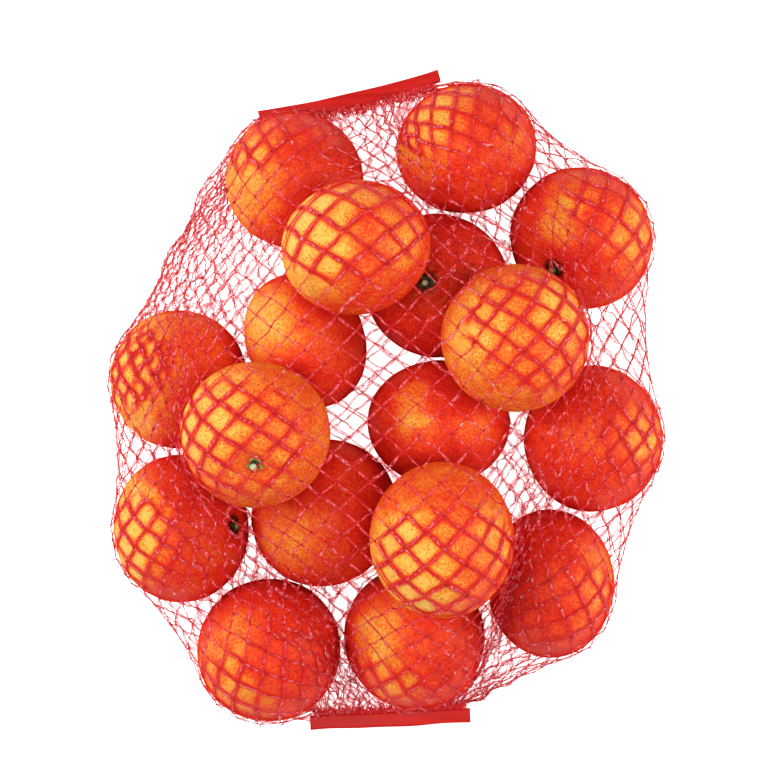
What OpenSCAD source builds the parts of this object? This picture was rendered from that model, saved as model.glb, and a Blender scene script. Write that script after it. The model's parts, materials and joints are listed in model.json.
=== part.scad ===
// Produce bag: a tube of knitted net lying on its side, filled with two layers of oranges
// and closed at each end by a folded strip of plastic tape.
// Frame: Z up, Y towards the top tape. The origin is on the resting face, below the middle
// of the fruit. All sizes are in millimetres.

/* [Fruit] */
// Closest distance between two neighbouring oranges, and between an orange and the net
fruit_gap = 0.6; // [0.4:0.1:1.2]
// Depth of the hollow round the stem button
hollow_depth = 2.2; // [1.6:0.1:3]
// Diameter of the hollow round the stem button
hollow_d = 26; // [20:1:32]
// Diameter of the flat seat at the bottom of the hollow
seat_d = 10; // [9.5:0.5:12]

/* [Stem button] */
// Diameter of the stem button across its lobes
button_d = 8.6; // [6:0.2:9]
// Thickness of the stem button
button_t = 0.8; // [0.6:0.1:1]
// Number of lobes on the stem button
button_lobes = 5; // [4:1:6]
// Diameter of the cut stem on the button
stub_d = 3.2; // [2:0.1:3.6]
// Height of the cut stem above the button's seat
stub_h = 1.8; // [1.2:0.1:2]
// Clearance under the stem button
seat_gap = 0.05; // [0.02:0.01:0.1]

/* [Net] */
// Thickness of the net skin, which is one knot thick
net_t = 1; // [0.8:0.1:1.4]
// Height of the gathered net where it goes into a tape
lip_h = 4.4; // [4:0.2:6]
// Length of the flat lip that runs towards a tape
lip_len = 3; // [2:0.5:5]
// How much narrower the lip is than its tape, at each end
lip_inset = 3; // [2:0.5:6]
// Step round the opening at the end of the lip
opening_step = 0.2; // [0.1:0.1:0.4]

/* [Tape] */
// Width of the folded tape, from its mouth to its fold
tape_w = 7.5; // [6.5:0.5:9]
// Thickness of the folded tape over both layers
tape_t = 2.6; // [2.2:0.2:3]
// Thickness of one layer of the tape
film_t = 0.8; // [0.6:0.1:0.9]
// Length of the top tape
top_tape_len = 96; // [85:1:100]
// Length of the bottom tape
bottom_tape_len = 83; // [75:1:90]
// Radius of the bend along the top tape
top_tape_bend = 520; // [400:20:800]
// Height of both tapes' middle above the resting face
tape_z = 9; // [8.5:0.5:12]
// Distance from a tape's mouth to the end of the net lip
mouth_gap = 1.7; // [1.5:0.1:2.5]

/* [Hidden] */

LOWER = 0;
UPPER = 1;

// One row for each orange: X and Y of its centre, its diameter, its height along the stem,
// its layer, and the compass angle and the tilt from upright of its stem.
FRUIT = [
  [ -46.4,  110.8,   70,   66, LOWER, 200, 165],
  [   -15,     73, 71.5,   64, UPPER, 100, 100],
  [    40,  126.4, 71.5,   65, LOWER, 100, 100],
  [  97.6,   81.3, 73.5,   66, LOWER, 227,  47],
  [  25.2,   57.6,   73,   65, LOWER, 176,  11],
  [    61,     30,   71,   64, UPPER,  30, 170],
  [-104.6,   10.4, 70.5,   64, LOWER, 180, 150],
  [   -41,     30,   71, 59.5, LOWER, 206,  98],
  [   -63,    -16,   72,   65, UPPER, 277,  26],
  [    26,  -11.3, 72.5,   63, LOWER, 270,  98],
  [ 103.7,  -19.4, 74.5,   67, LOWER, 180, 135],
  [-103.2,  -64.4,   75,   65, LOWER,   5,  66],
  [ -31.6,  -56.6,   76,   67, LOWER, 315, 140],
  [  26.5,  -66.5,   75,   67, UPPER, 185, 130],
  [ -59.5, -125.9,   73,   67, LOWER,  90, 165],
  [  13.8, -119.6, 72.6,   66, LOWER,   0, 155],
  [    82,    -92,   75, 64.5, LOWER, 180,  96]
];

// X and Y of each tape's mouth at the middle of its length, the compass angle of its
// length (the outward side is a quarter turn further on), and its length.
TOP_TAPE = [-18.1, 151.6, 13.8, top_tape_len];
BOTTOM_TAPE = [1.6, -161.9, 182.6, bottom_tape_len];

UP = [0, 0, 1];
ROOM = 500;            // larger than the whole bag
SETTLE_STEPS = 20;     // halvings when a fruit's resting height is looked for
PEEL_STEPS = 44;       // points along an orange's outline from stem to base
FORM_FN = 24;          // facets round each ball inside the hull of the net
ROUND_FN = 96;         // anything above 12 gives a true circle

// ---------------------------------------------------------------- where each fruit lies

function stem_axis(f) = [cos(f[5]) * sin(f[6]), sin(f[5]) * sin(f[6]), cos(f[6])];

// How far the flattened ball of a fruit reaches from its centre along direction u
function reach(f, u) =
  let (along = u * stem_axis(f))
  norm([f[2] / 2 * sqrt(max(0, 1 - along * along)), f[3] / 2 * along]);

// Clear distance between two fruit whose centres differ by v
function clear_gap(f, g, v) = let (u = v / norm(v)) norm(v) - reach(f, u) - reach(g, u);

function lower_z(f) = net_t + fruit_gap + reach(f, UP);

// Height at which fruit f just clears fruit g below it
function settle_z(f, g, low, high, steps = SETTLE_STEPS) =
  steps == 0
    ? high
    : let (
        mid = (low + high) / 2,
        v = [g[0] - f[0], g[1] - f[1], lower_z(g) - mid],
        clear = clear_gap(f, g, v) >= fruit_gap
      )
      settle_z(f, g, clear ? low : mid, clear ? mid : high, steps - 1);

function upper_z(f) =
  max([for (g = FRUIT) if (g[4] == LOWER) settle_z(f, g, lower_z(g), lower_z(g) + f[2] + g[2])]);

function centre_z(f) = f[4] == LOWER ? lower_z(f) : upper_z(f);

// Puts its children at a fruit's centre, with their Z along the stem
module at_fruit(f) {
  translate([f[0], f[1], centre_z(f)])
    rotate([0, f[6], f[5]])
      children();
}

// ---------------------------------------------------------------- oranges

function start_angle(f) = asin(seat_d / f[2]);
function seat_z(f) = f[3] / 2 * cos(start_angle(f)) - hollow_depth;

// How far the peel lies below the plain ball at radius r: full at the seat, none at the rim
function hollow_at(r) =
  let (share = min(1, max(0, (2 * r - seat_d) / (hollow_d - seat_d))))
  hollow_depth * (1 + cos(180 * share)) / 2;

function peel_point(f, t) =
  let (r = f[2] / 2 * sin(t))
  [r, f[3] / 2 * cos(t) - (t < 90 ? hollow_at(r) : 0)];

module orange(f) {
  color("darkorange")
    at_fruit(f)
      rotate_extrude($fn = ROUND_FN)
        polygon(concat(
          [[0, seat_z(f)]],
          [for (i = [0 : PEEL_STEPS - 1])
            peel_point(f, start_angle(f) + i * (180 - start_angle(f)) / PEEL_STEPS)],
          [[0, -f[3] / 2]]
        ));
}

module calyx(f) {
  lobe_d = button_d * 0.36;
  color("darkolivegreen")
    at_fruit(f)
      translate([0, 0, seat_z(f) + seat_gap]) {
        linear_extrude(button_t) {
          circle(d = button_d * 0.62, $fn = ROUND_FN);
          for (i = [0 : button_lobes - 1])
            rotate(360 / button_lobes * i)
              translate([(button_d - lobe_d) / 2, 0])
                circle(d = lobe_d, $fn = ROUND_FN);
        }
        cylinder(d = stub_d, h = stub_h, $fn = ROUND_FN);
      }
}

// ---------------------------------------------------------------- net

// Puts its children at the middle of a tape's mouth: X along the tape, Y outwards
module at_tape(tape) {
  translate([tape[0], tape[1], tape_z])
    rotate(tape[2])
      children();
}

// The end of the net that runs towards a tape, made smaller by inset on every side
module lip(tape, inset, deeper = 0) {
  lip_w = tape[3] - 2 * lip_inset;
  at_tape(tape)
    translate([-lip_w / 2 + inset, -mouth_gap - lip_len, -lip_h / 2 + inset])
      cube([lip_w - 2 * inset, lip_len - inset + deeper, lip_h - 2 * inset]);
}

// The opening through the end of a lip, a little smaller than the room inside the lip
module lip_opening(tape) {
  lip(tape, net_t + opening_step, 2 * (net_t + opening_step));
}

// A ball round a fruit, grown by room, whose flat facets stay outside the true surface
module ball_round(f, room) {
  facet = 1 / pow(cos(180 / FORM_FN), 2);
  at_fruit(f)
    scale([f[2] / 2 + room, f[2] / 2 + room, f[3] / 2 + room] * facet)
      sphere(r = 1, $fn = FORM_FN);
}

// The tight form of the net round all the fruit and both lips, cut flat at height floor_z
module net_form(room, inset, floor_z) {
  difference() {
    hull() {
      for (f = FRUIT) ball_round(f, room);
      lip(TOP_TAPE, inset);
      lip(BOTTOM_TAPE, inset);
    }
    translate([-ROOM / 2, -ROOM / 2, floor_z - ROOM])
      cube([ROOM, ROOM, ROOM]);
  }
}

module net_sleeve() {
  color("crimson")
    difference() {
      net_form(fruit_gap + net_t, 0, 0);
      net_form(fruit_gap, net_t, net_t);
      lip_opening(TOP_TAPE);
      lip_opening(BOTTOM_TAPE);
    }
}

// ---------------------------------------------------------------- tapes

// A strip folded in two: two flat layers joined by a round fold, open at its mouth (X = 0)
module folded_section() {
  slot_t = tape_t - 2 * film_t;
  fold_x = tape_w - tape_t / 2;
  difference() {
    union() {
      translate([0, -tape_t / 2]) square([fold_x, tape_t]);
      translate([fold_x, 0]) circle(d = tape_t, $fn = ROUND_FN);
    }
    translate([-tape_t, -slot_t / 2]) square([fold_x + tape_t, slot_t]);
    translate([fold_x, 0]) circle(d = slot_t, $fn = ROUND_FN);
  }
}

// The top tape curls a little, with its ends away from the bag
module top_tape() {
  turn = top_tape_len / top_tape_bend * 180 / PI;
  color("red")
    at_tape(TOP_TAPE)
      translate([0, top_tape_bend, 0])
        rotate(-90 - turn / 2)
          rotate_extrude(angle = turn, $fn = ROUND_FN)
            translate([top_tape_bend, 0]) mirror([1, 0]) folded_section();
}

module bottom_tape() {
  color("red")
    at_tape(BOTTOM_TAPE)
      translate([-bottom_tape_len / 2, 0, 0])
        rotate([90, 0, 90])
          linear_extrude(bottom_tape_len) folded_section();
}

// ---------------------------------------------------------------- assembly

net_sleeve();
top_tape();
bottom_tape();
orange(FRUIT[0]);  // orange_01
orange(FRUIT[1]);  // orange_02
orange(FRUIT[2]);  // orange_03
orange(FRUIT[3]);  // orange_04
orange(FRUIT[4]);  // orange_05
orange(FRUIT[5]);  // orange_06
orange(FRUIT[6]);  // orange_07
orange(FRUIT[7]);  // orange_08
orange(FRUIT[8]);  // orange_09
orange(FRUIT[9]);  // orange_10
orange(FRUIT[10]);  // orange_11
orange(FRUIT[11]);  // orange_12
orange(FRUIT[12]);  // orange_13
orange(FRUIT[13]);  // orange_14
orange(FRUIT[14]);  // orange_15
orange(FRUIT[15]);  // orange_16
orange(FRUIT[16]);  // orange_17
calyx(FRUIT[0]);  // calyx_01
calyx(FRUIT[1]);  // calyx_02
calyx(FRUIT[2]);  // calyx_03
calyx(FRUIT[3]);  // calyx_04
calyx(FRUIT[4]);  // calyx_05
calyx(FRUIT[5]);  // calyx_06
calyx(FRUIT[6]);  // calyx_07
calyx(FRUIT[7]);  // calyx_08
calyx(FRUIT[8]);  // calyx_09
calyx(FRUIT[9]);  // calyx_10
calyx(FRUIT[10]);  // calyx_11
calyx(FRUIT[11]);  // calyx_12
calyx(FRUIT[12]);  // calyx_13
calyx(FRUIT[13]);  // calyx_14
calyx(FRUIT[14]);  // calyx_15
calyx(FRUIT[15]);  // calyx_16
calyx(FRUIT[16]);  // calyx_17
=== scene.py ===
"""Looks of the mesh produce bag: oranges with stem buttons inside a knitted net that two folded
tapes close. Every length is in metres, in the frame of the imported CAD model."""

import json
import math

import bpy
import numpy as np
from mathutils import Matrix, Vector


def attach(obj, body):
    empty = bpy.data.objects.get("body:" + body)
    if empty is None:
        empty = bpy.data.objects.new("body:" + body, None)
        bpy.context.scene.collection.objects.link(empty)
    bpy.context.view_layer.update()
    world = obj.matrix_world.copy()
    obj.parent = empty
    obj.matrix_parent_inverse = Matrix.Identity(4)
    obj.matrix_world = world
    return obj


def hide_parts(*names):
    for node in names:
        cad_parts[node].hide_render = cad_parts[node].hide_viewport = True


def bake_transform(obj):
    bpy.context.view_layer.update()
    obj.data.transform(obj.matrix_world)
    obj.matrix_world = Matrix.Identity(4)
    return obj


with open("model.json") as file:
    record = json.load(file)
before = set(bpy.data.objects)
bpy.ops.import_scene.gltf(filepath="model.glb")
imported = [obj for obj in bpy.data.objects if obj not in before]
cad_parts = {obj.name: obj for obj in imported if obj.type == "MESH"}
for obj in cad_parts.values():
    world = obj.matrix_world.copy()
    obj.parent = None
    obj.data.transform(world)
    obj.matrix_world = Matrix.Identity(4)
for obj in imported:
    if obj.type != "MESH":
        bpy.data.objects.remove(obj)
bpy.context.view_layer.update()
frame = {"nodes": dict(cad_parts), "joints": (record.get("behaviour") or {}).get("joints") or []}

MM = 0.001
UP = np.array([0.0, 0.0, 1.0])
JOINT_OF = {joint["child"]: joint for joint in frame["joints"]}
FRUIT_IDS = [name[-2:] for name in JOINT_OF if name.startswith("fruit_")]


# ------------------------------------------------------------------ vectors and smooth noise

def unit(vectors):
    return vectors / np.maximum(np.linalg.norm(vectors, axis=-1, keepdims=True), 1e-12)


def smoothstep(values, low, high):
    share = np.clip((values - low) / (high - low), 0, 1)
    return share * share * (3 - 2 * share)


def waves(points, wavelength, seed, count=12):
    """Smooth noise, about -1 to 1: a sum of plane waves in directions drawn from seed."""
    draw = np.random.default_rng(seed)
    directions = unit(draw.normal(size=(count, 3)))
    lengths = wavelength * draw.uniform(0.7, 1.4, count)
    phases = draw.uniform(0, 2 * math.pi, count)
    turns = points @ (directions * (2 * math.pi / lengths)[:, None]).T + phases
    return np.sin(turns).sum(-1) / math.sqrt(count)


# ------------------------------------------------------------------ meshes

def make_object(name, points, quads, triangles=(), materials=(), slots=None, **attributes):
    """A smooth-shaded mesh object; each attribute is one float for each point."""
    quads = np.asarray(quads, int).reshape(-1, 4)
    triangles = np.asarray(triangles, int).reshape(-1, 3)
    sizes = np.r_[np.full(len(quads), 4), np.full(len(triangles), 3)]
    corners = np.r_[quads.ravel(), triangles.ravel()]
    mesh = bpy.data.meshes.new(name)
    mesh.vertices.add(len(points))
    mesh.vertices.foreach_set("co", np.asarray(points, np.float32).ravel())
    mesh.loops.add(len(corners))
    mesh.loops.foreach_set("vertex_index", corners.astype(np.int32))
    mesh.polygons.add(len(sizes))
    mesh.polygons.foreach_set("loop_start", np.r_[0, np.cumsum(sizes)[:-1]].astype(np.int32))
    mesh.polygons.foreach_set("use_smooth", np.ones(len(sizes), bool))
    for material in materials:
        mesh.materials.append(material)
    if slots is not None:
        mesh.polygons.foreach_set("material_index", np.asarray(slots, np.int32))
    mesh.update(calc_edges=True)
    for key, values in attributes.items():
        layer = mesh.attributes.new(key, "FLOAT", "POINT")
        layer.data.foreach_set("value", np.asarray(values, np.float32))
    thing = bpy.data.objects.new(name, mesh)
    bpy.context.scene.collection.objects.link(thing)
    return thing


def skin(rings, closed=False):
    """Quads over a stack of rings, shaped (strips, rings, corners): open strips of four corners
    get square end caps, closed strips join their last ring to their first."""
    index = np.arange(rings[0] * rings[1] * rings[2]).reshape(rings)
    near, far = (index, np.roll(index, -1, 1)) if closed else (index[:, :-1], index[:, 1:])
    sides = np.stack([near, np.roll(near, -1, 2), np.roll(far, -1, 2), far], -1).reshape(-1, 4)
    if closed:
        return sides
    return np.concatenate([sides, index[:, 0, ::-1], index[:, -1]])


def tubes(paths, across, over, radius, closed=False):
    """Four-sided tubes along paths; across and over are unit vectors square to each path."""
    corners = [across + over, over - across, -across - over, across - over]
    rings = np.stack([paths + radius * corner / math.sqrt(2) for corner in corners], 2)
    return rings.reshape(-1, 3), skin(rings.shape[:3], closed)


def join_parts(parts):
    """One point array, quad array and slot array from (points, quads, slot) parts."""
    starts = np.cumsum([0] + [len(points) for points, _, _ in parts])
    points = np.concatenate([part[0] for part in parts])
    quads = np.concatenate([part[1] + start for part, start in zip(parts, starts)])
    slots = np.concatenate([np.full(len(part[1]), part[2]) for part in parts])
    return points, quads, slots


# ------------------------------------------------------------------ materials

def new_material(name):
    material = bpy.data.materials.new(name)
    material.use_nodes = True
    material.node_tree.nodes.clear()
    return material


def node(material, kind, inputs=None, **settings):
    """Adds a shader node; an input is a value, or (node, output name) for a link."""
    tree = material.node_tree
    made = tree.nodes.new("ShaderNode" + kind)
    for key, value in settings.items():
        setattr(made, key, value)
    for key, value in (inputs or {}).items():
        if isinstance(value, tuple) and hasattr(value[0], "outputs"):
            tree.links.new(value[0].outputs[value[1]], made.inputs[key])
        else:
            made.inputs[key].default_value = value
    return made


def ramp(material, source, stops):
    """A smooth colour ramp over source, from (place, colour) stops."""
    made = node(material, "ValToRGB", {"Fac": source})
    made.color_ramp.interpolation = "EASE"
    elements = made.color_ramp.elements
    while len(elements) < len(stops):
        elements.new(0.5)
    for element, (place, colour) in zip(elements, stops):
        element.position = place
        element.color = (*colour, 1)
    return made, "Color"


def spread(material, source, low, high, to_low=0.0, to_high=1.0):
    """Maps source from low..high to to_low..to_high, clamped and smooth."""
    made = node(material, "MapRange", {"Value": source, "From Min": low, "From Max": high,
                                       "To Min": to_low, "To Max": to_high},
                interpolation_type="SMOOTHSTEP")
    return made, "Result"


def math_node(material, operation, first, second):
    return node(material, "Math", {0: first, 1: second}, operation=operation), "Value"


def mixed(material, share, first, second):
    return node(material, "MixRGB", {"Fac": share, "Color1": first, "Color2": second}), "Color"


def object_noise(material, size, detail=3.0, stretch=(1, 1, 1)):
    """Noise fixed to the piece, whose features are about size across."""
    place = node(material, "TexCoord"), "Object"
    scaled = node(material, "Mapping", {"Vector": place, "Scale": stretch}), "Vector"
    made = node(material, "TexNoise", {"Vector": scaled, "Scale": 1 / size, "Detail": detail})
    return made, "Fac"


def finish_material(material, surface):
    node(material, "OutputMaterial", {"Surface": surface})
    return material


PORE_SPACING = 1.6 * MM
# Reaches of the painted shade on the peel: right beside whatever touches it, and between
# neighbouring oranges.
CONTACT_SHADE_REACH = 3.5 * MM
CONTACT_SHADE_TONE = 0.24    # how yellow the peel is right beside whatever touches it
NEIGHBOUR_SHADE_REACH = 22 * MM


def peel_material():
    """Orange peel: a flush from red to yellow that is partly its own colour and partly painted
    light, oil pores, and painted shade that turns it redder beside whatever touches it and darker
    red between oranges.
    """
    peel = new_material("orange_peel")
    blush = node(peel, "Attribute", attribute_name="blush"), "Fac"
    mottle = spread(peel, object_noise(peel, 9 * MM, 4), 0.3, 0.7, -0.10, 0.10)
    # The fine grain is partly the peel's own speckle and partly painted highlight flecks where red
    # meets yellow.
    grain = spread(peel, object_noise(peel, 1.3 * MM, 2), 0.34, 0.66, -0.14, 0.13)
    ripe_and_painted_light = math_node(peel, "ADD", math_node(peel, "ADD", blush, mottle), grain)
    # Painted shade: the peel turns red right beside the net or anything else that touches it, and
    # darker red where other oranges are near.
    contact_shade = node(peel, "AmbientOcclusion", {"Distance": CONTACT_SHADE_REACH}, samples=10), "AO"
    wide = node(peel, "AmbientOcclusion", {"Distance": NEIGHBOUR_SHADE_REACH}, samples=6), "AO"
    beside = math_node(peel, "MINIMUM", ripe_and_painted_light, CONTACT_SHADE_TONE)
    near = spread(peel, contact_shade, 0.74, 0.96, beside, ripe_and_painted_light)
    wide = spread(peel, wide, 0.15, 0.90, 0.20, 1.0)
    tone = math_node(peel, "MULTIPLY", near, wide)
    # The ramp runs from the darkest red of the painted shade to the yellow of the painted light.
    base = ramp(peel, tone, [
        (0.00, (0.50, 0.014, 0.009)),
        (0.24, (0.80, 0.028, 0.015)),
        (0.45, (0.86, 0.082, 0.020)),
        (0.65, (0.90, 0.200, 0.026)),
        (0.82, (0.92, 0.345, 0.042)),
        (1.00, (0.94, 0.520, 0.090))])
    place = node(peel, "TexCoord"), "Object"
    cells = node(peel, "TexVoronoi", {"Vector": place, "Scale": 1 / PORE_SPACING,
                                      "Randomness": 0.85}), "Distance"
    pore = spread(peel, cells, 0.18, 0.42, 1.0, 0.0)
    pore_depth = spread(peel, object_noise(peel, 5 * MM, 2), 0.35, 0.65, 0.25, 0.85)
    dot = math_node(peel, "MULTIPLY", pore, pore_depth)
    dotted = mixed(peel, dot, base, (0.72, 0.034, 0.010, 1))
    scar = node(peel, "Attribute", attribute_name="scar"), "Fac"
    scarred = mixed(peel, scar, dotted, (0.10, 0.055, 0.018, 1))
    shade = node(peel, "Attribute", attribute_name="shade"), "Fac"
    colour = mixed(peel, shade, scarred, (0.006, 0.001, 0.001, 1))
    rough_noise = object_noise(peel, 0.9 * MM, 3)
    height = math_node(peel, "SUBTRACT", math_node(peel, "MULTIPLY", rough_noise, 0.35), pore)
    bump = node(peel, "Bump", {"Height": height, "Strength": 0.55,
                               "Distance": 0.16 * MM}), "Normal"
    rough = spread(peel, rough_noise, 0.3, 0.7, 0.34, 0.5)
    # The peel's rim takes no white sheen from the floor, so its gloss fades towards the rim.
    facing = node(peel, "LayerWeight", {"Blend": 0.5}), "Facing"
    gloss = spread(peel, facing, 0.30, 0.75, 0.28, 0.0)
    shader = node(peel, "BsdfPrincipled", {
        "Base Color": colour, "Roughness": rough, "Normal": bump,
        "Specular IOR Level": gloss, "Specular Tint": (1.0, 0.70, 0.25, 1)})
    return finish_material(peel, (shader, "BSDF"))


def strand_material():
    """Crimson net filament, with short pale patches along it that are painted glints."""
    strand = new_material("net_strand")
    tone = object_noise(strand, 2.4 * MM, 2)
    # The pale top of this ramp is painted glints.
    base = ramp(strand, tone, [
        (0.27, (0.12, 0.005, 0.010)),
        (0.33, (0.82, 0.014, 0.024)),
        (0.59, (0.94, 0.030, 0.060)),
        (0.67, (0.97, 0.40, 0.44)),
        (0.73, (1.00, 0.85, 0.85))])
    body = node(strand, "BsdfPrincipled", {
        "Base Color": base, "Roughness": 0.35, "Specular IOR Level": 0.4})
    glow = node(strand, "BsdfTranslucent", {"Color": base})
    shader = node(strand, "MixShader", {"Fac": 0.45, 1: (body, "BSDF"), 2: (glow, "BSDF")})
    return finish_material(strand, (shader, "Shader"))


def film_material():
    """The thin clear red film between the two filaments of a leg of the net; its paler streaks are
    painted glints.
    """
    film = new_material("net_film")
    streak = object_noise(film, 1.6 * MM, 2)
    # The paler streaks are painted glints.
    base = ramp(film, streak, [(0.35, (0.85, 0.020, 0.035)), (0.65, (0.95, 0.28, 0.32))])
    body = node(film, "BsdfPrincipled", {"Base Color": base, "Roughness": 0.22,
                                         "Specular IOR Level": 0.7})
    clear = node(film, "BsdfTransparent", {"Color": (1.0, 0.86, 0.88, 1)})
    cover = spread(film, streak, 0.42, 0.66, 0.06, 0.5)
    shader = node(film, "MixShader", {"Fac": cover, 1: (clear, "BSDF"), 2: (body, "BSDF")})
    return finish_material(film, (shader, "Shader"))


def gather_material():
    """The flattened film of the net where it is bunched at a tape; its faint glow is painted light.
    """
    gather = new_material("net_gather")
    streak = object_noise(gather, 2 * MM, 2)
    base = ramp(gather, streak, [(0.28, (0.45, 0.008, 0.012)), (0.45, (0.90, 0.036, 0.036))])
    # The faint emission is painted light: the bunched film glows though it is no lamp.
    body = node(gather, "BsdfPrincipled", {"Base Color": base, "Roughness": 0.4,
                                           "Specular IOR Level": 0.3,
                                           "Emission Color": base,
                                           "Emission Strength": 0.12})
    glow = node(gather, "BsdfTranslucent", {"Color": base})
    shader = node(gather, "MixShader", {"Fac": 0.4, 1: (body, "BSDF"), 2: (glow, "BSDF")})
    return finish_material(gather, (shader, "Shader"))


def tape_material():
    """Red plastic tape with faint lengthwise drawing lines."""
    tape = new_material("tape_plastic")
    lines = object_noise(tape, 7 * MM, 3, (0.25, 2.2, 2.2))
    base = ramp(tape, lines, [(0.3, (0.54, 0.009, 0.007)), (0.7, (0.68, 0.016, 0.011))])
    fine = object_noise(tape, 1.1 * MM, 2, (0.5, 1.5, 1.5))
    bump = node(tape, "Bump", {"Height": fine, "Strength": 0.35,
                               "Distance": 0.08 * MM}), "Normal"
    rough = spread(tape, lines, 0.3, 0.7, 0.34, 0.48)
    shader = node(tape, "BsdfPrincipled", {
        "Base Color": base, "Roughness": rough, "Normal": bump, "Specular IOR Level": 0.18})
    return finish_material(tape, (shader, "BSDF"))


def button_material():
    """Green stem button that browns towards the tips of its lobes."""
    button = new_material("stem_button")
    edge = node(button, "Attribute", attribute_name="edge"), "Fac"
    mottle = spread(button, object_noise(button, 1.3 * MM, 3), 0.3, 0.7, -0.2, 0.2)
    age = math_node(button, "ADD", edge, mottle)
    base = ramp(button, age, [
        (0.0, (0.010, 0.010, 0.003)),
        (0.3, (0.060, 0.110, 0.010)),
        (0.6, (0.170, 0.330, 0.020)),
        (0.85, (0.330, 0.440, 0.050)),
        (1.0, (0.420, 0.260, 0.040))])
    rough = object_noise(button, 0.5 * MM, 2)
    bump = node(button, "Bump", {"Height": rough, "Strength": 0.7,
                                 "Distance": 0.15 * MM}), "Normal"
    shader = node(button, "BsdfPrincipled", {"Base Color": base, "Roughness": 0.6,
                                             "Normal": bump})
    return finish_material(button, (shader, "BSDF"))


def cut_material():
    """Pale cut face of the stem, with its darker ring of bark; where the stem lies in deep shade
    the face is painted darker, as painted shade.
    """
    cut = new_material("stem_cut")
    edge = node(cut, "Attribute", attribute_name="edge"), "Fac"
    fibre = spread(cut, object_noise(cut, 0.4 * MM, 2), 0.3, 0.7, -0.1, 0.1)
    base = ramp(cut, math_node(cut, "ADD", edge, fibre), [
        (0.0, (0.62, 0.72, 0.42)), (0.7, (0.56, 0.66, 0.36)), (1.0, (0.10, 0.17, 0.03))])
    shader = node(cut, "BsdfPrincipled", {"Base Color": base, "Roughness": 0.7})
    return finish_material(cut, (shader, "BSDF"))


def floor_material():
    floor = new_material("floor_paper")
    grain = ramp(floor, object_noise(floor, 40 * MM, 2),
                 [(0.0, (0.90, 0.90, 0.90)), (1.0, (0.93, 0.93, 0.93))])
    seen = spread(floor, (node(floor, "LightPath"), "Is Camera Ray"), 0, 1, 0.4, 1.0)
    shader = node(floor, "BsdfPrincipled", {
        "Base Color": grain, "Roughness": 0.9, "Emission Color": (1, 1, 1, 1),
        "Emission Strength": seen})
    return finish_material(floor, (shader, "BSDF"))


PEEL = peel_material()
STRAND = strand_material()
FILM = film_material()
GATHER = gather_material()
TAPE = tape_material()
BUTTON = button_material()
CUT = cut_material()


# ------------------------------------------------------------------ the fruit of the frame

def node_points(name):
    mesh = frame["nodes"][name].data
    points = np.empty(len(mesh.vertices) * 3, np.float32)
    mesh.vertices.foreach_get("co", points)
    return points.reshape(-1, 3).astype(float)


def read_fruit(name):
    """Centre, stem axis, half width and half height of an orange, and its frame across the stem."""
    joint = JOINT_OF["fruit_" + name]
    centre, stem = np.array(joint["pos_m"]), unit(np.array(joint["axis"]))
    offsets = node_points("orange_" + name) - centre
    along = offsets @ stem
    wide = np.linalg.norm(offsets - along[:, None] * stem, axis=1).max()
    first = unit(np.cross(UP, stem) if abs(stem[2]) < 0.99 else np.array([1.0, 0, 0]))
    return {"name": name, "centre": centre, "stem": stem, "wide": wide, "deep": -along.min(),
            "first": first, "second": np.cross(stem, first)}


FRUIT = [read_fruit(name) for name in FRUIT_IDS]


PUSH_LIMIT = 6 * MM    # the most that one orange moves a point at a time


def clear_of_fruit(points, room):
    """Moves points that lie closer to an orange than room out to that distance, in place."""
    for fruit in FRUIT:
        wide, deep = fruit["wide"] + room, fruit["deep"] + room
        offset = points - fruit["centre"]
        near = np.flatnonzero((offset * offset).sum(1) < wide * wide)
        along = offset[near] @ fruit["stem"]
        radial = offset[near] - along[:, None] * fruit["stem"]
        level = np.sqrt((radial * radial).sum(1) / wide**2 + along**2 / deep**2)
        inside = level < 1
        near, along, radial, level = near[inside], along[inside], radial[inside], level[inside]
        slope = radial / wide**2 + (along / deep**2)[:, None] * fruit["stem"]
        steep = np.linalg.norm(slope, axis=1) + 1e-9
        depth = np.minimum((1 - level) * level / steep, PUSH_LIMIT)
        points[near] += slope * (depth / steep)[:, None]
    return points


# ------------------------------------------------------------------ oranges

PEEL_ROWS = 112
PEEL_COLUMNS = 150
SEAT_R = 5 * MM        # the flat floor of the hollow round the stem
HOLLOW_R = 13 * MM
HOLLOW_DEPTH = 2.2 * MM
CREASE_R = 8 * MM      # the creases that run out of the hollow
CREASE_WIDTH = 3.5 * MM
CREASE_DEPTH = 0.35 * MM
DIMPLE_R = 2.6 * MM    # the dimple at the other end
DIMPLE_RISE = 0.6 * MM
SCAR_R = 1.5 * MM
STEM_RING_R = 4.2 * MM
STEM_RING_WIDTH = 0.9 * MM
DARK_R = (3.2 * MM, 7.5 * MM)

# The peel's unevenness from broad to fine: depth, wavelength, and what its seed adds.
LUMPS = ((0.45 * MM, 46 * MM, 0), (0.16 * MM, 11 * MM, 50), (0.07 * MM, 4.2 * MM, 100))

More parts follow.
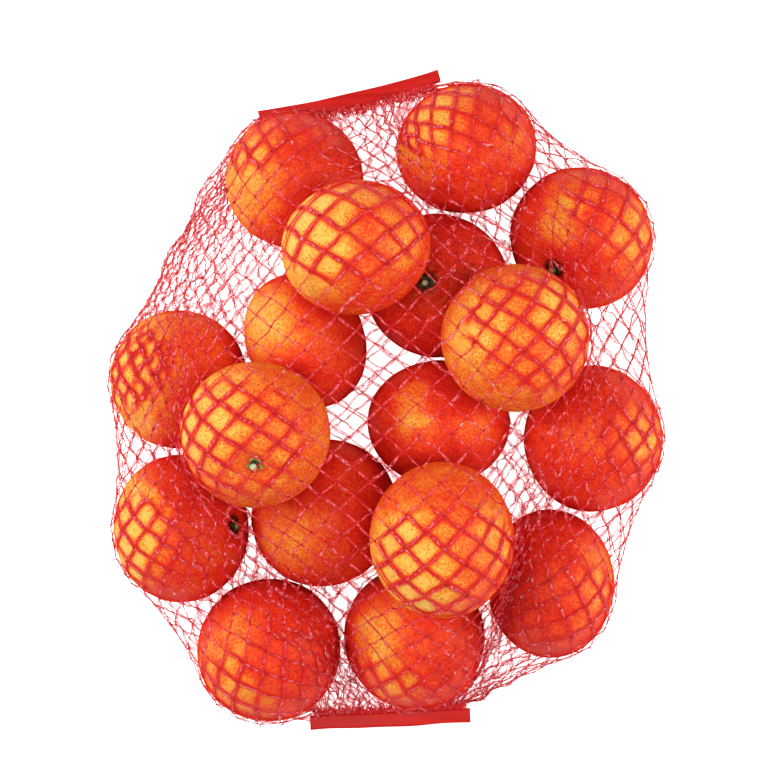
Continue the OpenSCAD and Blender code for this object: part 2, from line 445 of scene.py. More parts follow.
# How yellow each orange is, from 0 for deep red to 1, partly its own colour and partly painted
# light, and its paler patches, which are painted light on its lit flanks and highlights: the angle
# of a patch's middle round from +X and above the horizon, how much paler it is, and its reach,
# with the angles in degrees.
BLUSH_AND_PAINTED_LIGHT = {
    "01": (0.29, (180, 32, 0.62, 68)),
    "02": (0.45, (178, 34, 0.72, 72), (3, 50, 0.34, 30), (75, 50, 0.15, 30)),
    "03": (0.31, (170, 46, 0.56, 46), (104, 45, 0.36, 32), (0, 48, 0.22, 30)),
    "04": (0.29, (152, 62, 0.48, 30), (0, 45, 0.48, 42), (100, 47, 0.22, 32)),
    "05": (0.15, (285, 70, 0.18, 30)),
    "06": (0.61, (161, 52, 0.28, 46), (29, 46, 0.32, 36), (206, 40, 0.18, 40)),
    "07": (0.46, (176, 26, 1.10, 84), (330, 40, 0.20, 40)),
    "08": (0.31, (168, 38, 0.68, 56), (90, 70, 0.24, 45)),
    "09": (0.63, (155, 38, 0.34, 62)),
    "10": (0.26, (152, 62, 0.46, 24), (204, 70, 0.22, 22), (354, 58, 0.25, 27)),
    "11": (0.28, (168, 74, 0.24, 24), (6, 46, 0.50, 42)),
    "12": (0.34, (176, 30, 1.05, 70)),
    "13": (0.31, (205, 50, 0.36, 52)),
    "14": (0.54, (212, 46, 0.54, 66), (10, 35, 0.28, 38)),
    "15": (0.26, (140, 52, 0.38, 34), (200, 44, 0.42, 44), (255, 48, 0.32, 34)),
    "16": (0.27, (166, 48, 0.56, 40), (92, 48, 0.40, 34), (240, 50, 0.42, 38)),
    "17": (0.23, (20, 38, 0.42, 42), (315, 55, 0.20, 35))}

# Oranges whose stem lies in deep shade: how dark the hollow round it is, and its cut face.
DARK_STEMS = {"04": (1.0, 0.7), "05": (0.95, 0.464), "12": (1.0, 0.7)}
BRIGHT_STEM = (0, 0)


def compass(angle, rise):
    """Unit vector at an angle round from +X and a rise above the horizon, in degrees."""
    angle, rise = math.radians(angle), math.radians(rise)
    return np.array([math.cos(angle) * math.cos(rise), math.sin(angle) * math.cos(rise),
                     math.sin(rise)])


def peel_form(fruit, seed):
    """Points of one orange from stem to base, their distance from the stem's axis, and the
    angle from the stem. All of them are inside the form of the CAD solid."""
    tilt = np.linspace(0, math.pi, PEEL_ROWS)[:, None]
    turn = np.linspace(0, 2 * math.pi, PEEL_COLUMNS, endpoint=False)[None, :]
    radius = fruit["wide"] * np.sin(tilt) + 0 * turn
    hollow = HOLLOW_DEPTH * (1 - smoothstep(radius, SEAT_R, HOLLOW_R)) * (tilt < math.pi / 2)
    creases = CREASE_DEPTH * np.exp(-((radius - CREASE_R) / CREASE_WIDTH) ** 2)
    creases = creases * (tilt < math.pi / 2)
    hollow = hollow + creases * (1 + np.sin(turn * (7 + seed % 4) + seed)) / 2
    dimple = DIMPLE_RISE * np.exp(-(radius / DIMPLE_R) ** 2) * (tilt > math.pi / 2)
    height = fruit["deep"] * np.cos(tilt) - hollow + dimple
    outward = np.cos(turn)[..., None] * fruit["first"] + np.sin(turn)[..., None] * fruit["second"]
    points = fruit["centre"] + radius[..., None] * outward + height[..., None] * fruit["stem"]
    ball = unit(points - fruit["centre"])
    lumps = sum(depth * (1 - waves(points, size, seed + step)) / 2 for depth, size, step in LUMPS)
    lumps *= smoothstep(radius, 3 * MM, 9 * MM)
    return points - ball * np.maximum(lumps, 0)[..., None], radius, tilt


def peel_colours(fruit, points, radius, tilt, seed):
    """The yellow value, partly painted light, and the scar and painted shade values at each point
    of an orange.
    """
    base, *patches = BLUSH_AND_PAINTED_LIGHT[fruit["name"]]
    uneven = waves(points, 30 * MM, seed + 200) + 0.6 * waves(points, 12 * MM, seed + 300)
    blush = base + 0.03 * uneven
    # Each paler patch is painted light: a lit flank or a highlight painted onto the peel.
    for angle, rise, paler, reach in patches:
        facing = unit(points - fruit["centre"]) @ compass(angle, rise)
        away = np.degrees(np.arccos(np.clip(facing, -1, 1))) + 4 * uneven
        blush = blush + paler * (1 - smoothstep(away, 0.3 * reach, reach))
    base_scar = 0.15 * np.exp(-(radius / SCAR_R) ** 2) * (tilt > math.pi / 2)
    stem_ring = 0.35 * np.exp(-((radius - STEM_RING_R) / STEM_RING_WIDTH) ** 2)
    stem_ring = stem_ring * (tilt < math.pi / 2)
    near_stem = (1 - smoothstep(radius, *DARK_R)) * (tilt < math.pi / 2)
    hollow_dark, _ = DARK_STEMS.get(fruit["name"], BRIGHT_STEM)
    shade = near_stem * hollow_dark
    return np.clip(blush, 0.02, 1), np.clip(base_scar + stem_ring, 0, 1), shade


def stack_faces(rows, columns):
    """Quads between rows of points, and the two fans of triangles to the pole points that
    follow them, so that the skin is closed."""
    index = np.arange(rows * columns).reshape(rows, columns)
    right = np.roll(index, -1, 1)
    quads = np.stack([index[:-1], index[1:], right[1:], right[:-1]], -1).reshape(-1, 4)
    top, bottom = index.size, index.size + 1
    fans = [np.stack([np.full(columns, top), index[0], right[0]], -1),
            np.stack([np.full(columns, bottom), right[-1], index[-1]], -1)]
    return quads, np.concatenate(fans)


def with_poles(grid):
    """A pole-to-pole grid of values as one array: the inner rows, then the two poles."""
    width = grid.shape[2:] if grid.ndim > 2 else ()
    inner = grid[1:-1].reshape(-1, *width)
    return np.concatenate([inner, grid[:1, 0], grid[-1:, 0]])


def make_orange(fruit, seed):
    points, radius, tilt = peel_form(fruit, seed)
    blush, scar, shade = peel_colours(fruit, points, radius, tilt, seed)
    quads, fans = stack_faces(PEEL_ROWS - 2, PEEL_COLUMNS)
    orange = make_object("peel_" + fruit["name"], with_poles(points), quads, fans, [PEEL],
                         blush=with_poles(blush), scar=with_poles(scar),
                         shade=with_poles(shade))
    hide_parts("orange_" + fruit["name"])
    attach(orange, "fruit_" + fruit["name"])


# ------------------------------------------------------------------ stem buttons

BUTTON_SPOKES = 60
LOBES = 5
BUTTON_T = 0.8 * MM
STUB_R = 1.6 * MM
STUB_H = 1.8 * MM
STUB_LEAN = 0.9 * MM
LEAN_WAY = (-0.8, -0.6, 0)
CUT_RINGS = 3          # rows of faces on the cut face, round its middle
DARK_DIM = 0.8         # how much of its green a button in deep shade loses


def button_rings(fruit, reach, turn, seed):
    """The rings of a button's skin, each with its radius, its height above the seat, how near
    the edge it is, shifted towards the dark ends of the colours as painted shade where the stem
    lies in deep shade, and how much of the cut stem's lean it takes."""
    lobe = (1 + np.cos(LOBES * turn + seed)) / 2
    rim = reach * (0.58 + 0.36 * lobe**1.5 + 0.04 * np.sin(3 * turn + seed))
    # Painted shade for a stem in deep shade: its button's green is dimmed and its cut face
    # darkened.
    hollow_dark, cut_dark = DARK_STEMS.get(fruit["name"], BRIGHT_STEM)
    dim = 1 - DARK_DIM * hollow_dark
    stub = ((0.02, 0.82, 0.0), (0.55, 0.86, 0.2), (0.88, 0.97, 0.5), (1.0, 1.0, 0.8))
    rings = [(share * STUB_R, height * STUB_H, edge + cut_dark, 1) for share, height, edge in stub]
    rings += [(1.04 * STUB_R, 0.9 * STUB_H, 0.0, 1),
              (1.02 * STUB_R, 0.4 * BUTTON_T, 0.0, 1),
              (0.54 * reach, 0.3 * BUTTON_T, 0.05 * dim, 0.3),
              (0.58 * reach, 0.9 * BUTTON_T, 0.55 * dim, 0)]
    lobes = ((0.68, 0.7, 0.5), (0.80, 0.62, 0.7), (0.92, 0.8, 0.85), (1.0, 0.72, 1.0),
             (0.97, 0.35, 1.0))
    for share, height, edge in lobes:
        radius = np.maximum((0.5 + 0.1 * share) * reach, share * rim)
        rings.append((radius, BUTTON_T * (height + 0.2 * lobe), edge * dim, 0))
    return rings + [(0.4 * reach, 0.0, 0.5, 0), (0.02 * reach, 0.0, 0.5, 0)]


def make_button(fruit, seed):
    """A five-lobed button with curled tips and a short cut stem, as one closed skin."""
    offsets = node_points("calyx_" + fruit["name"]) - fruit["centre"]
    along = offsets @ fruit["stem"]
    reach = np.linalg.norm(offsets - along[:, None] * fruit["stem"], axis=1).max()
    turn = np.linspace(0, 2 * math.pi, BUTTON_SPOKES, endpoint=False)
    outward = np.cos(turn)[:, None] * fruit["first"] + np.sin(turn)[:, None] * fruit["second"]
    leaning = np.array(LEAN_WAY) - (LEAN_WAY @ fruit["stem"]) * fruit["stem"]
    stack, edges = [], []
    for radius, height, edge, lean in button_rings(fruit, reach, turn, seed):
        radius, level = radius + 0 * turn, along.min() + height + 0 * turn
        middle = fruit["centre"] + lean * STUB_LEAN * leaning
        stack.append(middle + radius[:, None] * outward + level[:, None] * fruit["stem"])
        edges.append(edge + 0 * turn)
    points = np.concatenate(stack + [stack[0].mean(0)[None], stack[-1].mean(0)[None]])
    quads, fans = stack_faces(len(stack), BUTTON_SPOKES)
    cut = CUT_RINGS * BUTTON_SPOKES
    slots = np.r_[np.ones(cut), np.zeros(len(quads) - cut),
                  np.ones(BUTTON_SPOKES), np.zeros(BUTTON_SPOKES)]
    button = make_object("button_" + fruit["name"], points, quads, fans, [BUTTON, CUT], slots,
                         edge=np.r_[np.concatenate(edges), 0.0, 0.5])
    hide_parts("calyx_" + fruit["name"])
    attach(button, "fruit_" + fruit["name"])


# ------------------------------------------------------------------ where the tapes are

def read_tape(name):
    """Mouth middle, length direction, outward direction and half length of a tape."""
    joint = JOINT_OF[name]
    mouth, along = np.array(joint["pos_m"]), unit(np.array(joint["axis"]))
    reach = (node_points(name) - mouth) @ along
    return {"name": name, "mouth": mouth, "along": along, "out": np.cross(UP, along),
            "half": (reach.max() - reach.min()) / 2}


TAPES = {name: read_tape(name) for name in ("top_tape", "bottom_tape")}


# ------------------------------------------------------------------ the net's lattice

CELLS = 56             # cells round the tube
ROWS = 54              # half cells from tape to tape
LEG = 10.6 * MM        # a leg of a cell, from knot to knot
NET_ROOM = 0.9 * MM    # from the peel to the middle of a leg
RELAX_STEPS = 240
AXIAL_PULL = 0.6
HOOP_PULL = 0.16
SIDE_HOOP = 2.4        # how much harder the net gathers at its sides than above and below
LEFT_HOOP = 0.5        # and how much harder still at its left side
END_HOOP = 2.5         # how much harder it gathers at its sides near the tapes
END_STRETCH = 0.35     # how much longer its cells are drawn near the tapes
END_ROWS = 11          # how far from a tape these two reach, in half cells
END_BUNCH = 0.7        # how far its columns are bunched towards the two ends of each tape
TUCK = 3 * MM          # how far the ends of the net go into the tapes
END_INSET = 5 * MM     # from the last column of knots to the end of a tape
END_LIFT = 0.6 * MM
MOUTH_CLEAR = 3.5 * MM  # how near to a tape's mouth the free knots may come
MOUTH_BESIDE = 3 * MM  # how far past a tape's ends, and above it, that holds
MOUTH_ABOVE = 6 * MM
TUBE_WIDE = 105 * MM   # how much wider than the tapes the loose tube starts out, each side
TUBE_HIGH = 66 * MM    # half its height
TUBE_MIDDLE = 53 * MM  # height of its middle above the tapes
LEG_PASSES = 4         # times in each step that the legs are brought back to their length
LENGTH_SEED = 5
AIR_PUSH = 0.5
NET_FLOOR = 0.6 * MM

# Balls of air that hold the slack net off the fruit at one shoulder: X, Y, Z and radius
AIR = [(-80 * MM, 97 * MM, 44 * MM, 17 * MM), (-95 * MM, 66 * MM, 42 * MM, 17 * MM)]


def end_row(tape, shift, facing):
    """Knots at a tape's mouth: the upper layer of the tube runs one way, the lower one back."""
    share = (np.arange(CELLS) + shift) / CELLS
    even = np.abs(share * 4 - 2) - 1
    bunched = (1 - END_BUNCH) * even + END_BUNCH * np.sin(math.pi / 2 * even)
    place = facing * bunched * (tape["half"] - END_INSET)
    lift = END_LIFT * np.sin(2 * math.pi * share)
    return tape["mouth"] + TUCK * tape["out"] + place[:, None] * tape["along"] + lift[:, None] * UP


def start_lattice():
    """Knots on a loose tube from the top tape to the bottom one, shaped (rows, cells, 3)."""
    top, bottom = TAPES["top_tape"], TAPES["bottom_tape"]
    lattice = np.zeros((ROWS + 1, CELLS, 3))
    for row in range(ROWS + 1):
        share = row / ROWS
        angle = 2 * math.pi * (np.arange(CELLS) + 0.5 * (row % 2)) / CELLS
        swell = math.sin(math.pi * share) ** 0.5
        middle = (1 - share) * top["mouth"] + share * bottom["mouth"]
        half = (1 - share) * top["half"] + share * bottom["half"]
        lattice[row] = middle + TUBE_MIDDLE * swell * UP
        lattice[row, :, 0] += (half + TUBE_WIDE * swell) * np.cos(angle)
        lattice[row, :, 2] += TUBE_HIGH * swell * np.sin(angle)
    lattice[0] = end_row(top, 0, 1)
    lattice[-1] = end_row(bottom, 0.5 * (ROWS % 2), -1)
    return lattice


def leg_ends():
    """The two knots of each leg, as (row, cell) indices flattened, and the row of each leg."""
    row, cell = np.meshgrid(np.arange(ROWS), np.arange(CELLS), indexing="ij")
    beside = np.where(row % 2 == 0, cell - 1, cell + 1) % CELLS
    first = np.tile((row * CELLS + cell).ravel(), 2)
    second = np.r_[((row + 1) * CELLS + cell).ravel(), ((row + 1) * CELLS + beside).ravel()]
    return first, second, np.tile(row.ravel(), 2)


def sums_at(values, keys, count):
    """The sum of the vectors that share each key from 0 to count - 1."""
    return np.stack([np.bincount(keys, values[:, axis], count) for axis in range(3)], 1)


def push_off(points):
    """Keeps points off the fruit, out of the air balls and above the floor, in place."""
    clear_of_fruit(points, NET_ROOM)
    for x, y, z, radius in AIR:
        offset = points - (x, y, z)
        distance = np.linalg.norm(offset, axis=1)
        inside = distance < radius
        points[inside] += offset[inside] * (radius / distance[inside] - 1)[:, None] * AIR_PUSH
    points[:, 2] = np.maximum(points[:, 2], NET_FLOOR)
    return points


def keep_from_mouths(points):
    """Keeps the knots off the tapes, so that a folding tape does not sweep through them."""
    for tape in TAPES.values():
        offset = points - tape["mouth"]
        beyond = offset @ tape["out"] + MOUTH_CLEAR
        beside = np.abs(offset @ tape["along"]) < tape["half"] + MOUTH_BESIDE
        near = (beyond > 0) & beside & (np.abs(offset[:, 2]) < MOUTH_ABOVE)
        points[near] -= beyond[near, None] * tape["out"]


def grips():
    """How hard the net pulls round the tube at each knot, and lengthwise at each inner row."""
    share = (np.arange(CELLS)[None] + 0.5 * (np.arange(ROWS + 1) % 2)[:, None] + 0.5) / CELLS
    side = np.cos(2 * math.pi * share)[..., None]
    row = np.arange(ROWS + 1)[:, None, None]
    near_end = np.exp(-(np.minimum(row, ROWS - row) / END_ROWS) ** 2)
    grip = 1 + SIDE_HOOP * (1 + END_HOOP * near_end) * np.abs(side) ** 1.5
    grip = grip + LEFT_HOOP * np.maximum(-side, 0) ** 3
    return grip, 1 / (1 + END_STRETCH * near_end[1:-1])


def shortened(lattice, grip, stiff):
    """The knots pulled towards the middle of their neighbours, lengthwise and round the tube."""
    axial = np.zeros_like(lattice)
    pull = (lattice[2:] - lattice[:-2]) * stiff
    axial[2:-2] = (pull[2:] - pull[:-2]) / (stiff[2:] + stiff[:-2])
    reach = (np.roll(lattice, -1, 1) - lattice) * grip
    hoop = (reach - np.roll(reach, 1, 1)) / (grip + np.roll(grip, 1, 1))
    return (lattice + AXIAL_PULL * axial + HOOP_PULL * hoop).reshape(-1, 3)


def limit_legs(points, first, second, length):
    """Draws the two knots of each leg together, where they are further apart than its length."""
    count = len(points)
    legs = np.bincount(np.r_[first, second], minlength=count)[:, None]
    leg = points[second] - points[first]
    now = np.linalg.norm(leg, axis=1)
    over = leg * (np.maximum(0, now - length) / now * 0.5)[:, None]
    points += (sums_at(over, first, count) - sums_at(over, second, count)) * 2 / legs


def lift_legs(points, first, second):
    """Moves both knots of each leg whose middle has to be pushed off something."""
    count = len(points)
    middle = (points[first] + points[second]) / 2
    moved = push_off(middle.copy()) - middle
    hit = np.abs(moved).sum(1) > 1e-9
    first, second, moved = first[hit], second[hit], moved[hit]
    hits = np.bincount(np.r_[first, second], minlength=count)[:, None]
    both = sums_at(moved, first, count) + sums_at(moved, second, count)
    points += both / np.maximum(hits, 1)


def relax(lattice):
    """Pulls the net tight over the fruit: it shortens lengthwise and round the tube, no leg may
    be longer than its cut length, and nothing may go into a fruit or the floor."""
    first, second, _ = leg_ends()
    length = LEG * np.random.default_rng(LENGTH_SEED).uniform(0.94, 1.06, len(first))
    grip, stiff = grips()
    ends = lattice[0].copy(), lattice[-1].copy()
    for _ in range(RELAX_STEPS):
        points = shortened(lattice, grip, stiff)
        for _ in range(LEG_PASSES):
            points[:CELLS], points[-CELLS:] = ends
            limit_legs(points, first, second, length)
        push_off(points)
        lift_legs(points, first, second)
        keep_from_mouths(points)
        points[:CELLS], points[-CELLS:] = ends
        lattice = points.reshape(lattice.shape)
    return lattice


def lattice_normals(lattice):
    """Outward directions at the knots."""
    hoop = np.roll(lattice, -1, 1) - np.roll(lattice, 1, 1)
    rows = np.arange(ROWS + 1)
    axial = lattice[np.minimum(rows + 2, ROWS)] - lattice[np.maximum(rows - 2, 0)]
    return unit(np.cross(hoop, axial))


# ------------------------------------------------------------------ the net's strands

BANDS = 12             # pieces that the middle of the net is split into
STRAND_SEED = 11
STRAND_SLOT, FILM_SLOT, GATHER_SLOT = range(3)
STRAND_R = 0.18 * MM
STRAND_ROOM = STRAND_R + 0.1 * MM
FLOOR_ROOM = 0.3 * MM
FILM_T = 0.03 * MM
LEG_STEPS = 8
LEG_HALF = 0.58 * MM   # from the middle of a leg to its filaments
LEG_ROOM = 0.7 * MM    # from the middle of a leg to the peel
LEG_YARN = LEG * 1.03
LEG_BOW = 0.24         # how far a slack leg bows sideways, for the yarn it has to spare
LEG_UNEVEN = 0.25 * MM
LEG_RIPPLE = 0.22 * MM
LEG_TILT = 30          # the most a leg is turned about its own length, in degrees
LEG_TWIST = 45         # how far it twists from knot to knot, as a standard deviation
KINK = 0.10 * MM
SLACK_KINK = 0.42 * MM
KNOT_R = 0.62 * MM
KNOT_LOOPS = 2
LOOP_STEPS = 9
LOOP_THIN = 0.85
LOOP_TILT = 0.45
LOOP_SHIFT = 0.35 * MM
LOOP_LONG = (0.6, 1.6)  # half length and half width of a loop, in knot radii
LOOP_SHORT = (0.35, 0.8)
SLACK_LOOP = 1.2       # how much longer loops are where the net is slack
GATHER_STRANDS = 170   # bunched strands in each layer at a tape
GATHER_REACH = 5 * MM  # how far they run from a tape's mouth
GATHER_RISE = 1.6 * MM
GATHER_INSET = 4 * MM
GATHER_DRIFT = 3 * MM
GATHER_KINK = 0.8 * MM
GATHER_ROOM = STRAND_R + 0.2 * MM
MOUTH_ROOM = 0.45 * MM
MOUTH_SLOPE = 0.7      # how steeply the gathered net opens out of a tape's mouth


def off_surfaces(paths, room):
    """The paths moved to at least room from the fruit, and off the floor."""
    flat = clear_of_fruit(paths.reshape(-1, 3).copy(), room)
    flat[:, 2] = np.maximum(flat[:, 2], FLOOR_ROOM)
    return flat.reshape(paths.shape)


def wander(share, size, side, over, draw):
    """Sideways kinks of a filament, none at its two ends."""
    one_each = (len(size), 1, 1)
    shift = 0
    for bends in (1, 2, 3):
        swing = np.sin(math.pi * bends * share) * size / math.sqrt(bends)
        shift = shift + swing * (draw.normal(size=one_each) * side
                                 + 0.6 * draw.normal(size=one_each) * over)
    return shift


def into_mouth(paths, tape):
    """Flattens what comes near a tape, so that it goes in between the two layers of the fold."""
    away = np.maximum((tape["mouth"] - paths) @ tape["out"], 0)
    room = MOUTH_ROOM + MOUTH_SLOPE * away
    lift = paths[..., 2] - tape["mouth"][2]
    paths[..., 2] = tape["mouth"][2] + np.clip(lift, -room, room)
    return paths


def slackness(chord):
    """How slack a leg is, from 0 to 1, when its knots are chord apart."""
    return smoothstep(1 - chord / LEG, 0.02, 0.25)


def leg_parts(knots, normals, first, second, draw, tape=None):
    """Two filaments and the film between them for each leg; tape is the one they end in."""
    one_each = (len(first), 1, 1)
    share = np.linspace(0, 1, LEG_STEPS + 1)[None, :, None]
    start, end = knots[first][:, None], knots[second][:, None]
    chord = np.linalg.norm(end - start, axis=2, keepdims=True)
    normal = unit((normals[first] + normals[second]) / 2)[:, None]
    across = unit(np.cross(end - start, normal))
    over = np.cross(across, unit(end - start))
    slack = np.sqrt(np.maximum(LEG_YARN - chord, 0) * chord) * LEG_BOW
    bow = slack * draw.uniform(-1, 1, one_each) + draw.normal(0, LEG_UNEVEN, one_each)
    ripple = draw.normal(0, LEG_RIPPLE, one_each) * np.sin(2 * math.pi * share)
    arch = np.sin(math.pi * share)
    path = start + (end - start) * share + across * (bow * arch + ripple)
    path = off_surfaces(path, LEG_ROOM)
    twist = np.radians(draw.uniform(-LEG_TILT, LEG_TILT, one_each))
    twist = twist + np.radians(draw.normal(0, LEG_TWIST, one_each)) * (share - 0.5)
    side = np.cos(twist) * across + np.sin(twist) * over
    half = LEG_HALF * draw.uniform(0.45, 1.25, one_each) * (0.15 + 0.85 * arch**0.8)
    kinks = KINK + SLACK_KINK * slackness(chord)
    left, right = [off_surfaces(path + sign * side * half + wander(share, kinks, side, over, draw),
                                STRAND_ROOM) for sign in (1, -1)]
    if tape:
        left, right = into_mouth(left, tape), into_mouth(right, tape)
    thick = STRAND_R * draw.uniform(0.75, 1.15, one_each)
    slot = GATHER_SLOT if tape else STRAND_SLOT
    level = np.broadcast_to(over, left.shape)
    beside = np.broadcast_to(across, left.shape)
    film_over = unit(np.cross(unit(np.gradient(path, axis=1)), left - right)) * FILM_T
    film = np.stack([left + film_over, right + film_over, right - film_over, left - film_over], 2)
    return [(*tubes(left, beside, level, thick), slot),
            (*tubes(right, beside, level, thick), slot),
            (film.reshape(-1, 3), skin(film.shape[:3]), FILM_SLOT)]


def knot_slack(knots, first, second):
    """How slack the legs that meet at each knot are, from 0 to 1."""
    loose = slackness(np.linalg.norm(knots[second] - knots[first], axis=1))
    both = np.r_[first, second]
    return np.bincount(both, np.tile(loose, 2)) / np.bincount(both)


def knot_parts(knots, normals, slack, which, draw):
    """Small tangled loops at each knot, wider where the net is slack."""
    parts = []
    one_each = (len(which), 1, 1)
    turn = np.linspace(0, 2 * math.pi, LOOP_STEPS, endpoint=False)[None, :, None]
    centre, normal = knots[which][:, None], normals[which][:, None]
    for _ in range(KNOT_LOOPS):
        tilted = unit(normal + draw.normal(0, LOOP_TILT, (len(which), 1, 3)))
        first = unit(np.cross(tilted, draw.normal(size=(len(which), 1, 3))))
        second = np.cross(tilted, first)
        longer = KNOT_R * draw.uniform(*LOOP_LONG, one_each)
        longer = longer * (1 + SLACK_LOOP * slack[which][:, None, None])
        shorter = KNOT_R * draw.uniform(*LOOP_SHORT, one_each)
        shift = draw.normal(0, LOOP_SHIFT, (len(which), 1, 3))
        loop = centre + shift + longer * np.cos(turn) * first + shorter * np.sin(turn) * second
        loop = off_surfaces(loop, STRAND_ROOM)
        outward = unit(loop - loop.mean(1, keepdims=True))
        over = np.broadcast_to(tilted, loop.shape)
        ring = tubes(loop, outward, over, STRAND_R * LOOP_THIN, closed=True)
        parts.append((*ring, STRAND_SLOT))
    return parts


def gather_parts(tape, layer, draw):
    """Short flattened strands that run from inside a tape's mouth to the net; layer is 1 for
    the upper side of the tube and -1 for the lower one."""
    share = np.linspace(0, 1, LEG_STEPS + 1)[None, :, None]
    one_each = (GATHER_STRANDS, 1, 1)
    place = draw.uniform(-1, 1, one_each) * (tape["half"] - GATHER_INSET)
    lift = layer * draw.uniform(0.1, 1.0, one_each) * GATHER_RISE
    reach = -TUCK + (TUCK + GATHER_REACH * draw.uniform(0.3, 1.0, one_each)) * share
    drift = draw.normal(0, GATHER_DRIFT, one_each) * share
    kinks = wander(share, np.full(one_each, GATHER_KINK), tape["along"], UP, draw)
    path = tape["mouth"] - reach * tape["out"] + (place + drift) * tape["along"]
    path = off_surfaces(path + share * lift * UP + kinks * share, GATHER_ROOM)
    path = into_mouth(path, tape)
    forward = unit(np.gradient(path, axis=1))
    across = unit(np.cross(forward, UP))
    flattened = across * (4 - 2.5 * share)
    return [(*tubes(path, flattened, np.cross(across, forward), STRAND_R), GATHER_SLOT)]


def net_piece(name, parts):
    points, quads, slots = join_parts(parts)
    piece = make_object(name, points, quads, materials=[STRAND, FILM, GATHER], slots=slots)
    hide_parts("net_sleeve")
    return piece


def make_end(knots, normals, first, second, tape, layer, draw):
    """One layer of the net's end, from its last free knots into a tape; layer is 1 or -1."""
    parts = leg_parts(knots, normals, first, second, draw, tape)
    parts += gather_parts(tape, layer, draw)
    piece = net_piece(f"net_end_{tape['name']}_{'upper' if layer > 0 else 'lower'}", parts)
    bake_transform(piece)


def make_net():
    lattice = relax(start_lattice())
    knots = lattice.reshape(-1, 3)
    normals = lattice_normals(lattice).reshape(-1, 3)
    first, second, row = leg_ends()
    slack = knot_slack(knots, first, second)
    draw = np.random.default_rng(STRAND_SEED)
    edges = np.linspace(1, ROWS - 1, BANDS + 1).round().astype(int)
    for band in range(BANDS):
        chosen = (row >= edges[band]) & (row < edges[band + 1])
        which = np.arange(edges[band] * CELLS, edges[band + 1] * CELLS)
        parts = leg_parts(knots, normals, first[chosen], second[chosen], draw)
        parts += knot_parts(knots, normals, slack, which, draw)
        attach(net_piece(f"net_band_{band + 1:02d}", parts), "net")
    upper = normals[second][:, 2] + normals[first][:, 2] > 0
    for tape, end in ((TAPES["top_tape"], 0), (TAPES["bottom_tape"], ROWS - 1)):
        for layer, in_layer in ((1, upper), (-1, ~upper)):
            chosen = (row == end) & in_layer
            make_end(knots, normals, first[chosen], second[chosen], tape, layer, draw)


# ------------------------------------------------------------------ tapes

TAPE_STEPS = 90
TAPE_FILM = 0.55 * MM
TAPE_SQUEEZE = 0.18    # how much thinner a tape is pressed in places
SQUEEZE_PITCH = 260    # in radians for each metre along the tape, like the two below
RIPPLES = ((95, 1, 1), (210, 2, 0.5))  # pitch, times the seed that shifts it, and size


def tape_section(half_t, fold):
    """The folded strip's outline: from one lip round the fold to the other, then back inside."""
    arc = np.radians(np.linspace(90, -90, 9))
    inner_r = half_t - TAPE_FILM
    flat = np.linspace(0, fold, 7)[:-1]
    outside = [(x, half_t) for x in flat]
    outside += [(fold + half_t * math.cos(a), half_t * math.sin(a)) for a in arc]
    outside += [(x, -half_t) for x in flat[::-1]]
    inside = [(x, -inner_r) for x in flat]
    inside += [(fold + inner_r * math.cos(a), inner_r * math.sin(a)) for a in arc[::-1]]
    inside += [(x, inner_r) for x in flat[::-1]]
    return np.array(outside + inside)


def strip_faces(rows, columns):
    """Quads over a strip whose section goes out and back, with its two ends closed."""
    index = np.arange(rows * columns).reshape(rows, columns)
    right = np.roll(index, -1, 1)
    quads = np.stack([index[:-1], right[:-1], right[1:], index[1:]], -1).reshape(-1, 4)
    caps = []
    for ring, turned in ((index[0], True), (index[-1], False)):
        for i in range(columns // 2 - 1):
            quad = [ring[i], ring[i + 1], ring[columns - 2 - i], ring[columns - 1 - i]]
            caps.append(quad[::-1] if turned else quad)
    return np.concatenate([quads, np.array(caps)])


def make_tape(tape, bend, twist, wave, seed):
    """A strip folded in two, open towards the net; bend is how fast it curves away from a
    straight line, twist is in degrees at its two ends, and wave is the size of its ripples."""
    offset = node_points(tape["name"]) - tape["mouth"]
    half_t = (offset @ UP).max()
    width = (offset @ tape["out"] - (bend * (offset @ tape["along"]) ** 2)).max()
    fold = width - half_t
    section = tape_section(half_t, fold)
    place = np.linspace(-tape["half"], tape["half"], TAPE_STEPS)
    share = (place / tape["half"] + 1) / 2
    angle = np.radians(twist[0] + (twist[1] - twist[0]) * smoothstep(share, 0.1, 1.0))[:, None]
    squeeze = 1 - TAPE_SQUEEZE * (1 + np.sin(place * SQUEEZE_PITCH + seed))[:, None] / 2
    ripple = wave * sum(size * np.sin(place * pitch + part * seed) for pitch, part, size in RIPPLES)
    x, z = section[:, 0] + 0 * angle, section[:, 1] * squeeze
    out = x * np.cos(angle) - z * np.sin(angle) + bend * (place**2)[:, None]
    out = out + ripple[:, None] * smoothstep(x, 0, fold)
    rise = x * np.sin(angle) + z * np.cos(angle)
    points = (tape["mouth"] + place[:, None, None] * tape["along"]
              + out[..., None] * tape["out"] + rise[..., None] * UP)
    strip = make_object(tape["name"] + "_film", points.reshape(-1, 3),
                        strip_faces(*points.shape[:2]), materials=[TAPE])
    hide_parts(tape["name"])
    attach(strip, tape["name"])


# ------------------------------------------------------------------ floor, lights and camera

FLOOR_HALF = 3.0
FLOOR_DROP = 0.02 * MM
LIGHT_TARGET = (0, 0, 40 * MM)
WORLD_LIGHT = 0.31     # strength of the white world as a light, where 1 is what the camera sees

# Soft lights: place, size of the panel, and power
LIGHTS = {
    "key_left": ((-0.95, 0.25, 0.75), (0.7, 0.9), 10),
    "fill_right": ((1.0, -0.05, 0.7), (0.6, 0.9), 7.8),
    "top": ((0.0, -0.15, 1.5), (0.8, 0.8), 7)}


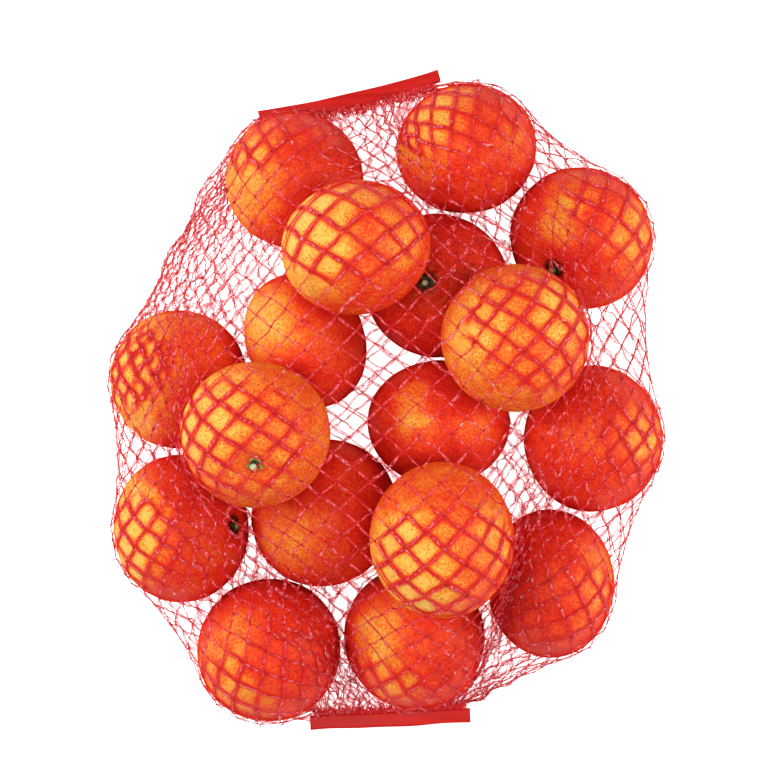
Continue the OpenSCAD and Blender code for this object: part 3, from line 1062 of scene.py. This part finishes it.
def add_light(name, place, size, power):
    data = bpy.data.lights.new(name, "AREA")
    data.shape = "RECTANGLE"
    data.size, data.size_y = size
    data.energy = power
    light = bpy.data.objects.new(name, data)
    light.location = place
    facing = np.array(LIGHT_TARGET) - np.array(place)
    light.rotation_euler = Vector(facing).to_track_quat("-Z", "Y").to_euler()
    bpy.context.scene.collection.objects.link(light)


def white_world():
    """A white surround that the camera sees at full strength and that lights less than that."""
    world = bpy.data.worlds.new("studio")
    world.use_nodes = True
    background = world.node_tree.nodes["Background"]
    background.inputs["Color"].default_value = (1, 1, 1, 1)
    seen = node(world, "LightPath"), "Is Camera Ray"
    strength, socket = spread(world, seen, 0, 1, WORLD_LIGHT, 1.0)
    world.node_tree.links.new(strength.outputs[socket], background.inputs["Strength"])
    return world


def set_stage():
    corners = np.array([[-1, -1, 0], [1, -1, 0], [1, 1, 0], [-1, 1, 0]]) * FLOOR_HALF
    corners[:, 2] = -FLOOR_DROP
    floor = make_object("floor", corners, [[0, 1, 2, 3]], materials=[floor_material()])
    bpy.context.scene.world = white_world()
    bpy.context.scene.view_settings.view_transform = "Standard"
    for name, settings in LIGHTS.items():
        add_light(name, *settings)


CAMERA_PLACE = (-1.5 * MM, 8.1 * MM, 986 * MM)
CAMERA_LENS = 88.4
CAMERA_SENSOR = 36


def add_camera():
    """Straight above the bag, with the top tape at the top of the picture."""
    data = bpy.data.cameras.new("camera")
    data.sensor_width = CAMERA_SENSOR
    data.lens = CAMERA_LENS
    camera = bpy.data.objects.new("camera", data)
    camera.location = CAMERA_PLACE
    bpy.context.scene.collection.objects.link(camera)
    bpy.context.scene.camera = camera


# ------------------------------------------------------------------ assembly

TOP_TAPE_R = 520 * MM  # radius of the arc that the top tape is bent to

for number, fruit in enumerate(FRUIT, 1):
    make_orange(fruit, number)
    make_button(fruit, number)
make_net()
make_tape(TAPES["top_tape"], bend=1 / (2 * TOP_TAPE_R), twist=(0, -28), wave=0.15 * MM, seed=1)
make_tape(TAPES["bottom_tape"], bend=0, twist=(-4, 6), wave=0.3 * MM, seed=2)
set_stage()
add_camera()
